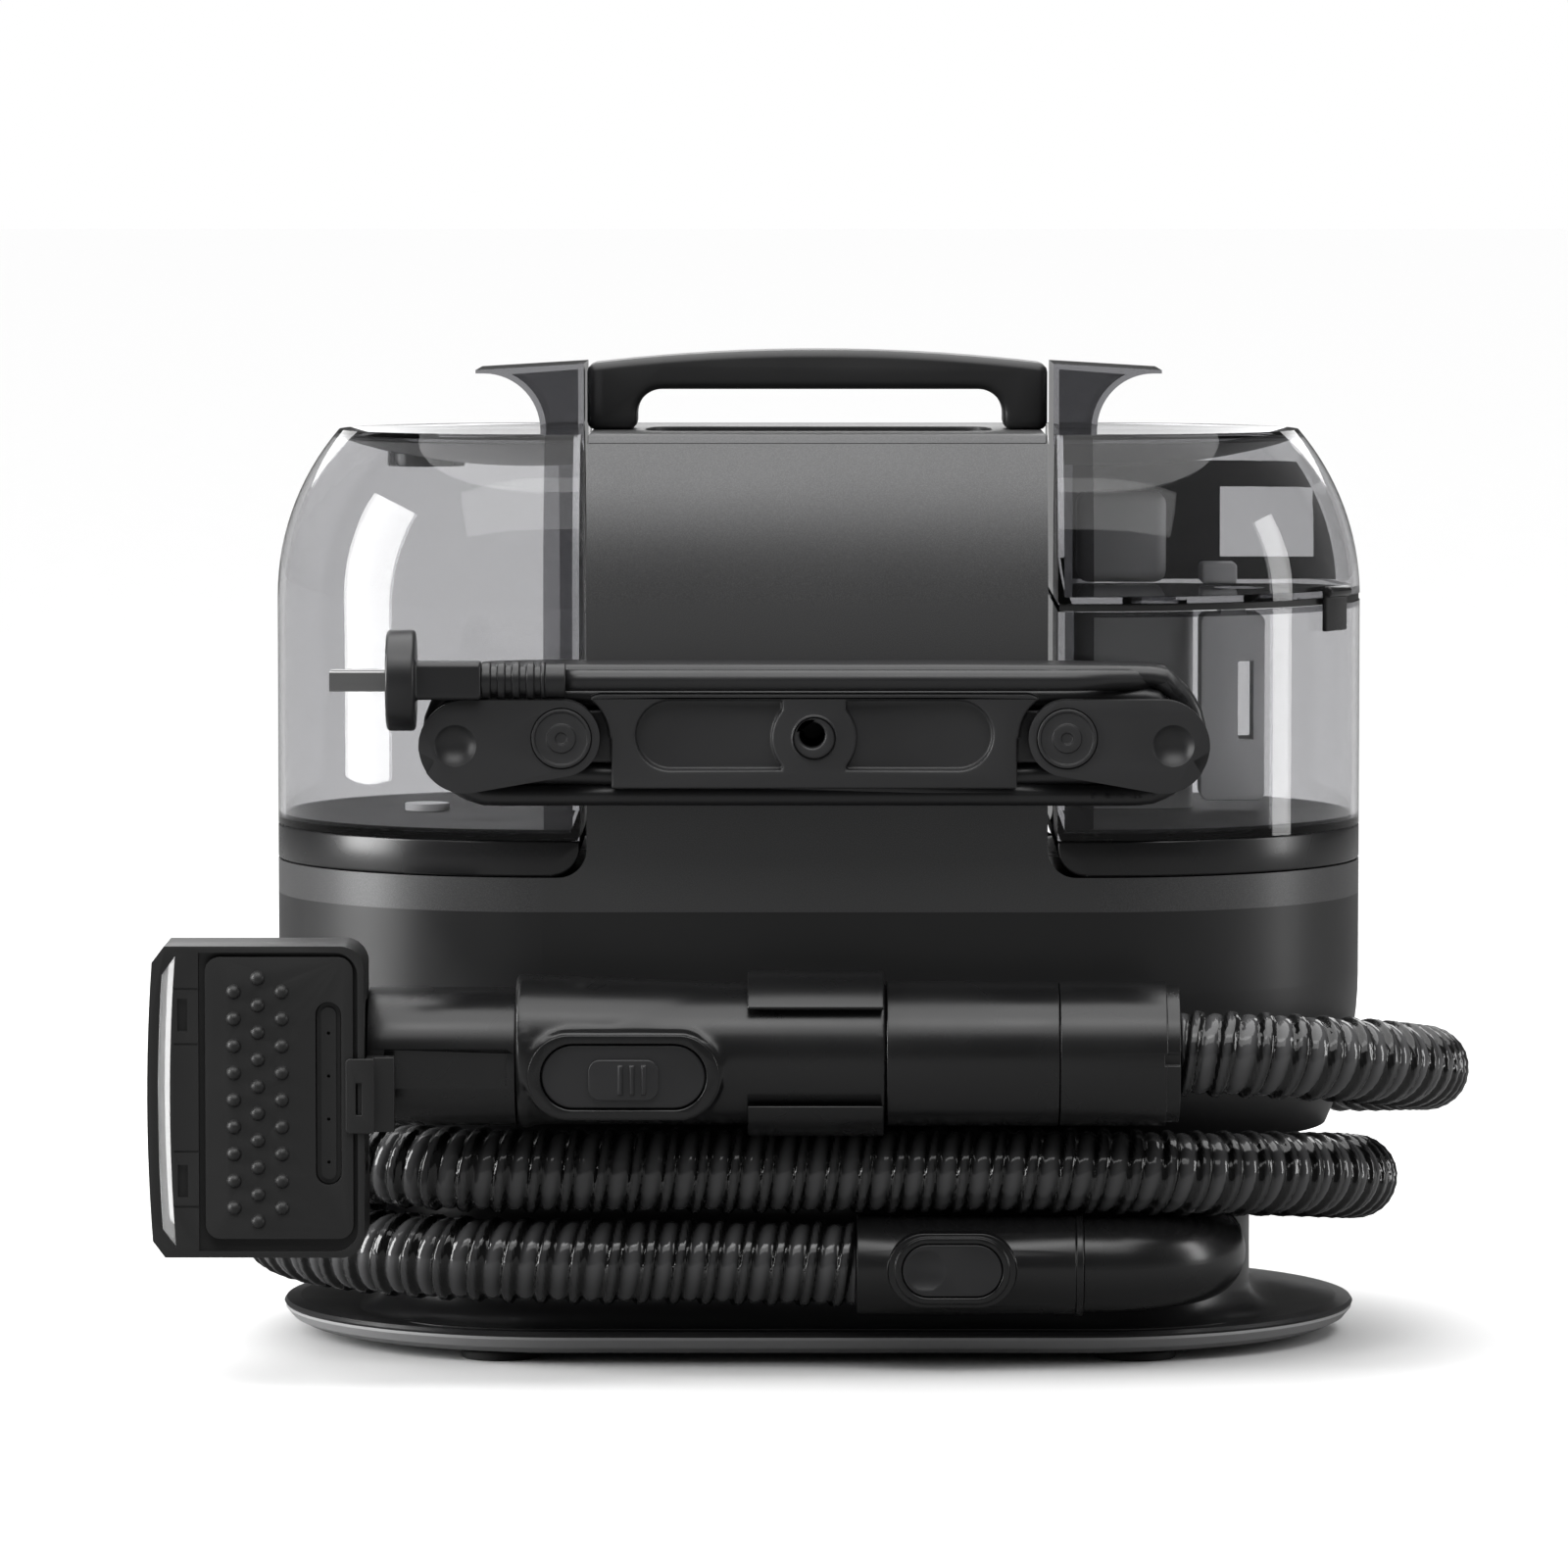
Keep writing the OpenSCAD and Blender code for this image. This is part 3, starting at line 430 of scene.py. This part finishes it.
BOARD_GREEN = moulded("board_green_mask", (0.02, 0.13, 0.05), 0.4, 1.2, 0.05, 0.3)
PANEL_GLOSS = moulded("panel_gloss_black", (0.006, 0.006, 0.006), 0.1, 4, 0.02, 0.1, 0.02)
FINISHES = {
    "satin_grey": SATIN_GREY, "body_black": BODY_BLACK, "waist_black": WAIST_BLACK,
    "tray_grey": TRAY_GREY, "skirt_grey": SKIRT_PAINTED_FLOOR_LIGHT, "foot_rubber": FOOT_RUBBER,
    "wrap_black": WRAP_BLACK, "handle_black": HANDLE_BLACK, "cord_black": CORD_BLACK,
    "plug_steel": PLUG_STEEL, "wand_black": WAND_BLACK, "button_grey": BUTTON_GREY,
    "hose_smoke": HOSE_SMOKE, "brush_black": BRUSH_BLACK, "clear_tank": TANK_CLEAR,
    "tinted_lid": LID_TINTED, "tank_black": TANK_BLACK, "seal_rubber": SEAL_RUBBER,
    "float_grey": FLOAT_GREY, "window_clear": MOUTH_CLEAR, "motor_grey": MOTOR_GREY,
    "board_green": BOARD_GREEN, "panel_gloss": PANEL_GLOSS}
SLOT_OF = {row["node"]: row["material_slot"] for row in frame["record"]["subparts"]}
BODY_OF = {part: body for body, parts in frame["record"]["behaviour"]["bodies"].items()
           for part in parts}


def choose(piece):
    """Select one piece and nothing else."""
    bpy.ops.object.select_all(action="DESELECT")
    piece.select_set(True)
    bpy.context.view_layer.objects.active = piece


def finish_modifier(piece, kind, **settings):
    """Add a modifier with the given settings and apply it."""
    modifier = piece.modifiers.new(kind.lower(), kind)
    for key, value in settings.items():
        setattr(modifier, key, value)
    choose(piece)
    bpy.ops.object.modifier_apply(modifier=modifier.name)


def coat(piece, material):
    piece.data.materials.clear()
    piece.data.materials.append(material)


for node_name, node_object in NODES.items():
    coat(node_object, FINISHES[SLOT_OF[node_name]])
coat(NODES["suction_riser"], DUCT_GREY)
coat(suction_hose, HOSE_SMOKE)
coat(power_cord, CORD_BLACK)


# Rounded edges on the plain moulded parts

def soften(node_name, width, clamp):
    """A copy of a plain part with its sharp edges rounded, which stands for that part."""
    source = NODES[node_name]
    piece = bpy.data.objects.new(node_name + "_soft_edged", source.data.copy())
    bpy.context.collection.objects.link(piece)
    choose(piece)
    bpy.ops.mesh.customdata_custom_splitnormals_clear()
    bpy.ops.object.mode_set(mode="EDIT")
    bpy.ops.mesh.select_all(action="SELECT")
    bpy.ops.mesh.remove_doubles(threshold=0.005 * MM)
    bpy.ops.mesh.dissolve_limited(angle_limit=math.radians(0.6))
    bpy.ops.object.mode_set(mode="OBJECT")
    finish_modifier(piece, "BEVEL", width=width * MM, segments=3, limit_method="ANGLE",
                    angle_limit=math.radians(32), use_clamp_overlap=clamp, loop_slide=True)
    bpy.ops.object.shade_smooth_by_angle(angle=math.radians(34))
    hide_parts(node_name)
    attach(piece, BODY_OF[node_name])


CLOSE_EDGED = ("cord_hook_left", "cord_hook_right", "nozzle_head", "scrub_plate")
EDGE_WIDTHS = {
    "carry_handle": 3.0, "cord_wrap_bracket": 1.0, "cord_hook_left": 1.4, "cord_hook_right": 1.4,
    "hook_pivot_caps": 0.35, "plug_housing": 1.2, "plug_strain_relief": 0.5, "hose_connector": 0.5,
    "hose_release_button": 0.5, "wand_clip": 0.6, "trigger_bezel": 0.5, "spray_trigger": 0.8,
    "trigger_lock": 0.4, "nozzle_head": 0.9, "scrub_plate": 0.5, "head_latch": 0.3,
    "rubber_feet": 0.6, "lid_latch": 0.5, "control_panel": 0.6, "power_button": 0.5,
    "mode_button": 0.5, "clean_tank_cap": 0.6, "clean_tank_base": 1.0, "dirty_base": 1.0,
    "float_guide": 0.6, "suction_riser": 0.8, "top_cover": 0.6}
for node_name, edge_width in EDGE_WIDTHS.items():
    soften(node_name, edge_width, clamp=node_name in CLOSE_EDGED)


# New pieces: the wand's grip and barrels, the lid's insides, and dark sheets of painted shade under the
# dishes and on the tank floors

NECK_LEFT_X = -155.3
NECK_X = -104.5
CUFF_X = 83.3
CUFF_END_X = 124.6
WAND_R = 25
SHOULDER_X = 102.5
SHOULDER_Z = 265
SHOULDER_R = 92
LID_FLOOR_Z = 269.8
GRIP_X = 23.5
WAND_Y = -127
WAND_Z = 112.5
TRIGGER_X = -67
TRIGGER_Z = 107
PAD_Y = -153
CAP_X = -141
TANK_CENTRE_X = 96.5
TANK_INNER_X = 86.5
TANK_INSIDE_R = 95
TANK_FLOOR_Z = 187.2


def added_piece(name):
    """The primitive just added, with its place put into its mesh."""
    piece = bpy.context.object
    piece.name = name
    bpy.ops.object.transform_apply(location=True, rotation=True, scale=True)
    return piece


def bar_along_x(name, x0, x1, y, z, radius, end_radius=None, sides=64):
    bpy.ops.object.select_all(action="DESELECT")
    bpy.ops.mesh.primitive_cone_add(
        vertices=sides, radius1=radius * MM, radius2=(end_radius or radius) * MM,
        depth=(x1 - x0) * MM, location=((x0 + x1) / 2 * MM, y * MM, z * MM),
        rotation=(0, math.radians(90), 0))
    return added_piece(name)


def oval_along_y(name, x, y0, y1, z, half_width, half_height):
    """A block with round ends: a drum stretched apart through its middle."""
    bpy.ops.object.select_all(action="DESELECT")
    bpy.ops.mesh.primitive_cylinder_add(
        vertices=64, radius=half_height * MM, depth=(y1 - y0) * MM,
        location=(x * MM, (y0 + y1) / 2 * MM, z * MM), rotation=(math.radians(90), 0, 0))
    piece = added_piece(name)
    for side in (-1, 1):
        bpy.ops.object.mode_set(mode="EDIT")
        bpy.ops.mesh.select_all(action="DESELECT")
        bpy.ops.object.mode_set(mode="OBJECT")
        for vertex in piece.data.vertices:
            vertex.select = side * (vertex.co.x / MM - x) > 0.01
        bpy.ops.object.mode_set(mode="EDIT")
        bpy.ops.transform.translate(value=(side * (half_width - half_height) * MM, 0, 0))
        bpy.ops.object.mode_set(mode="OBJECT")
    return piece


def combine(piece, other, operation):
    """Join another piece to this one, or cut it out, and throw the other away."""
    finish_modifier(piece, "BOOLEAN", operation=operation, object=other, solver="EXACT")
    bpy.data.objects.remove(other)


def add_wand_grip():
    """A barrel with a swelling back, a raised pad for the trigger and a flared front collar."""
    grip = bar_along_x("wand_grip_shaped", NECK_X, GRIP_X, WAND_Y, WAND_Z, 24.6)
    combine(grip, bar_along_x("back_swell", NECK_X, -18, WAND_Y, WAND_Z + 2.6, 24.9, 21.4), "UNION")
    bpy.ops.object.select_all(action="DESELECT")
    bpy.ops.mesh.primitive_uv_sphere_add(
        segments=64, ring_count=32, radius=MM, location=(-62 * MM, -133 * MM, 111 * MM),
        scale=(47, 20.4, 21))
    combine(grip, added_piece("pad_swell"), "UNION")
    combine(grip, oval_along_y("trigger_pad", TRIGGER_X, PAD_Y, WAND_Y, TRIGGER_Z, 34, 15.5), "UNION")
    bpy.ops.object.select_all(action="DESELECT")
    bpy.ops.mesh.primitive_torus_add(
        major_radius=22.6 * MM, minor_radius=3.4 * MM, major_segments=64, minor_segments=16,
        location=((NECK_X + 3.4) * MM, WAND_Y * MM, WAND_Z * MM), rotation=(0, math.radians(90), 0))
    combine(grip, added_piece("front_collar"), "UNION")
    finish_modifier(grip, "REMESH", mode="VOXEL", voxel_size=1.0 * MM)
    finish_modifier(grip, "SMOOTH", factor=0.5, iterations=14)
    combine(grip, oval_along_y("trigger_recess", TRIGGER_X, PAD_Y - 4, PAD_Y + 8.5, TRIGGER_Z, 28.6, 11.4),
            "DIFFERENCE")
    choose(grip)
    bpy.ops.object.shade_smooth_by_angle(angle=math.radians(40))
    coat(grip, WAND_BLACK)
    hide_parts("wand_grip")
    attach(grip, BODY_OF["wand_grip"])


def rough_block(name, low, high):
    bpy.ops.object.select_all(action="DESELECT")
    bpy.ops.mesh.primitive_cube_add(
        size=MM, location=[(a + b) / 2 * MM for a, b in zip(low, high)],
        scale=[b - a for a, b in zip(low, high)])
    return added_piece(name)


def finish_piece(piece, edge, material, body):
    """Round the edges, give the finish and say which body the piece moves with."""
    finish_modifier(piece, "BEVEL", width=edge * MM, segments=3, limit_method="ANGLE",
                    angle_limit=math.radians(32))
    bpy.ops.object.shade_smooth_by_angle(angle=math.radians(34))
    coat(piece, material)
    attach(piece, body)


def add_block(name, low, high, edge, material, body):
    """A moulded block between two corners, its edges rounded."""
    finish_piece(rough_block(name, low, high), edge, material, body)


def add_wand_barrels():
    """The straight tube, the hose cuff with its step and notch, and the neck with its flat panel."""
    tube_part = bar_along_x("wand_tube_smooth", GRIP_X, CUFF_X - 0.3, WAND_Y, WAND_Z, WAND_R, sides=96)
    cuff = bar_along_x("hose_cuff_stepped", CUFF_X, CUFF_END_X - 4.6, WAND_Y, WAND_Z, WAND_R, sides=96)
    combine(cuff, bar_along_x("cuff_step", CUFF_X + 2, CUFF_END_X, WAND_Y, WAND_Z, WAND_R - 1.2,
                              sides=96), "UNION")
    combine(cuff, rough_block("cuff_notch", (CUFF_END_X - 5.6, WAND_Y - 30, WAND_Z - 2),
                              (CUFF_END_X + 2, WAND_Y - 22.6, WAND_Z + 2)), "DIFFERENCE")
    neck = bar_along_x("wand_neck_panelled", NECK_LEFT_X, NECK_X, WAND_Y, WAND_Z - 1, 24, sides=96)
    combine(neck, rough_block("neck_panel", (NECK_LEFT_X + 6, WAND_Y - 30, WAND_Z - 14),
                              (NECK_X - 3, WAND_Y - 22.3, WAND_Z + 3.5)), "DIFFERENCE")
    for piece, node_name in ((tube_part, "wand_tube"), (cuff, "hose_cuff"), (neck, "wand_neck")):
        finish_piece(piece, 0.5, WAND_BLACK, BODY_OF[node_name])
        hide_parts(node_name)


def add_lid_baffle():
    """A dark upright wall inside the lid, following its shoulder, with a square window."""
    baffle = rough_block("lid_baffle", (92, 24, LID_FLOOR_Z), (190, 26, 313))
    bpy.ops.object.select_all(action="DESELECT")
    bpy.ops.mesh.primitive_cylinder_add(
        vertices=128, radius=(SHOULDER_R - 6) * MM, depth=20 * MM,
        location=(SHOULDER_X * MM, 25 * MM, SHOULDER_Z * MM), rotation=(math.radians(90), 0, 0))
    combine(baffle, added_piece("shoulder_round"), "INTERSECT")
    combine(baffle, rough_block("baffle_window", (145.5, 20, 278), (180, 30, 303.5)), "DIFFERENCE")
    finish_piece(baffle, 0.3, BAFFLE_AND_SHADE_BLACK, "dirty_tank_lid")


def add_dish_shade_sheet(name, side, body, cap_x=None):
    """A dark sheet under the dished tank top, painted shade that hides the dish's bright reflection: the
    low cap of a large ball.
    """
    bpy.ops.object.select_all(action="DESELECT")
    bpy.ops.mesh.primitive_uv_sphere_add(
        segments=192, ring_count=256, radius=(DISH_R + 2.8) * MM,
        location=(side * DISH_X * MM, 0, DISH_CENTRE_Z * MM))
    shade_sheet = added_piece(name)
    bpy.ops.object.mode_set(mode="EDIT")
    for place, facing in (((0, 0, 321.4), (0, 0, -1)), ((side * TANK_INNER_X, 0, 0), (side, 0, 0))):
        bpy.ops.mesh.select_all(action="SELECT")
        bpy.ops.mesh.bisect(plane_co=[v * MM for v in place], plane_no=facing, clear_inner=True)
    bpy.ops.object.mode_set(mode="OBJECT")
    finish_modifier(shade_sheet, "SOLIDIFY", thickness=0.5 * MM, offset=1)
    if cap_x:
        bpy.ops.object.select_all(action="DESELECT")
        bpy.ops.mesh.primitive_cylinder_add(vertices=64, radius=15 * MM, depth=40 * MM,
                                            location=(cap_x * MM, 0, 310 * MM))
        combine(shade_sheet, added_piece("cap_hole"), "DIFFERENCE")
    choose(shade_sheet)
    bpy.ops.object.shade_smooth_by_angle(angle=math.radians(34))
    coat(shade_sheet, BAFFLE_AND_SHADE_BLACK)
    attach(shade_sheet, body)


def add_tank_floor_shade(name, side, body):
    """A dark floor plate just above the tank's clear bottom, painted shade that hides the bright floor
    seen through it: half a disc with a straight side.
    """
    bpy.ops.object.select_all(action="DESELECT")
    bpy.ops.mesh.primitive_cylinder_add(
        vertices=96, radius=TANK_INSIDE_R * MM, depth=1.0 * MM,
        location=(side * TANK_CENTRE_X * MM, 0, TANK_FLOOR_Z * MM))
    plate = added_piece(name)
    bpy.ops.object.mode_set(mode="EDIT")
    bpy.ops.mesh.select_all(action="SELECT")
    bpy.ops.mesh.bisect(plane_co=(side * TANK_INNER_X * MM, 0, 0), plane_no=(side, 0, 0),
                        clear_inner=True, use_fill=True)
    bpy.ops.object.mode_set(mode="OBJECT")
    finish_modifier(plate, "BEVEL", width=0.3 * MM, segments=2, limit_method="ANGLE")
    coat(plate, TANK_FLOOR)
    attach(plate, body)


add_wand_grip()
add_wand_barrels()
add_block("lid_air_duct", (93, -2, LID_FLOOR_Z), (125, 22, 302), 4, DUCT_GREY, "dirty_tank_lid")
add_block("lid_float_post", (137, -11, LID_FLOOR_Z), (150, 11, 277), 1.2, DUCT_GREY, "dirty_tank_lid")
add_lid_baffle()
add_dish_shade_sheet("clean_tank_dish_shade_sheet", -1, "clean_tank", CAP_X)
add_dish_shade_sheet("dirty_lid_dish_shade_sheet", 1, "dirty_tank_lid")
add_tank_floor_shade("clean_tank_floor_shade", -1, "clean_tank")
add_tank_floor_shade("dirty_tank_floor_shade", 1, "dirty_tank")


# Floor and light

ROOM_LIGHT = 0.09
FLOOR_BOUNCE = 0.2
FLOOR_SEEN = 0.86


def looked_at(tree):
    """1 where the room is seen, straight or through clear plastic, and 0 where it only lights."""
    path = tree.nodes.new("ShaderNodeLightPath")
    return maths(tree, "MAXIMUM", path.outputs["Is Camera Ray"], path.outputs["Is Transmission Ray"])


def add_floor():
    bpy.ops.mesh.primitive_plane_add(size=80, location=(0, 20, 0))
    floor = bpy.context.object
    floor.name = "floor"
    material = moulded("floor_pale", (FLOOR_SEEN, FLOOR_SEEN, FLOOR_SEEN), 0.7, 8, 0.02, 0.05)
    tree = material.node_tree
    tone = tree.nodes.new("ShaderNodeMix")
    tone.data_type = "RGBA"
    tone.inputs["A"].default_value = (FLOOR_BOUNCE, FLOOR_BOUNCE, FLOOR_BOUNCE, 1)
    tone.inputs["B"].default_value = (FLOOR_SEEN, FLOOR_SEEN, FLOOR_SEEN, 1)
    tree.links.new(looked_at(tree), tone.inputs["Factor"])
    tree.links.new(tone.outputs["Result"], tree.nodes["Principled BSDF"].inputs["Base Color"])
    coat(floor, material)


def add_softbox(name, place, aim, width, height, power):
    bpy.ops.object.light_add(type="AREA", location=place)
    light = bpy.context.object
    light.name = name
    light.data.shape = "RECTANGLE"
    light.data.size = width
    light.data.size_y = height
    light.data.energy = power
    light.rotation_euler = (Vector(aim) - Vector(place)).to_track_quat("-Z", "Y").to_euler()


def add_overhead_light(strength, spread_degrees):
    """Very broad light from straight above, the same all over the floor."""
    bpy.ops.object.light_add(type="SUN", location=(0, 0, 3))
    light = bpy.context.object
    light.name = "overhead_light"
    light.data.energy = strength
    light.data.angle = math.radians(spread_degrees)


def add_surroundings():
    """A white room that is bright to look at and dim as a source of light."""
    world = bpy.data.worlds.new("pale_studio")
    world.use_nodes = True
    tree = world.node_tree
    background = tree.nodes["Background"]
    background.inputs["Color"].default_value = (1, 1, 1, 1)
    strength = tree.nodes.new("ShaderNodeMapRange")
    strength.inputs["To Min"].default_value = ROOM_LIGHT
    strength.inputs["To Max"].default_value = 1.0
    tree.links.new(looked_at(tree), strength.inputs["Value"])
    tree.links.new(strength.outputs["Result"], background.inputs["Strength"])
    bpy.context.scene.world = world


add_floor()
add_surroundings()
add_overhead_light(3.6, 80)
add_softbox("left_strip", (-1.6, -0.26, 0.62), (-0.15, 0, 0.22), 0.72, 1.1, 32)
add_softbox("right_strip", (1.6, -0.1, 0.5), (0.15, 0, 0.2), 0.3, 0.9, 6)
add_softbox("high_front_softbox", (0.0, -1.7, 1.9), (0, 0, 0.15), 3.2, 1.0, 20)
add_softbox("high_back_softbox", (0.0, 1.6, 1.0), (0, 0, 0.3), 2.4, 0.7, 14)
bpy.context.scene.view_settings.view_transform = "Standard"
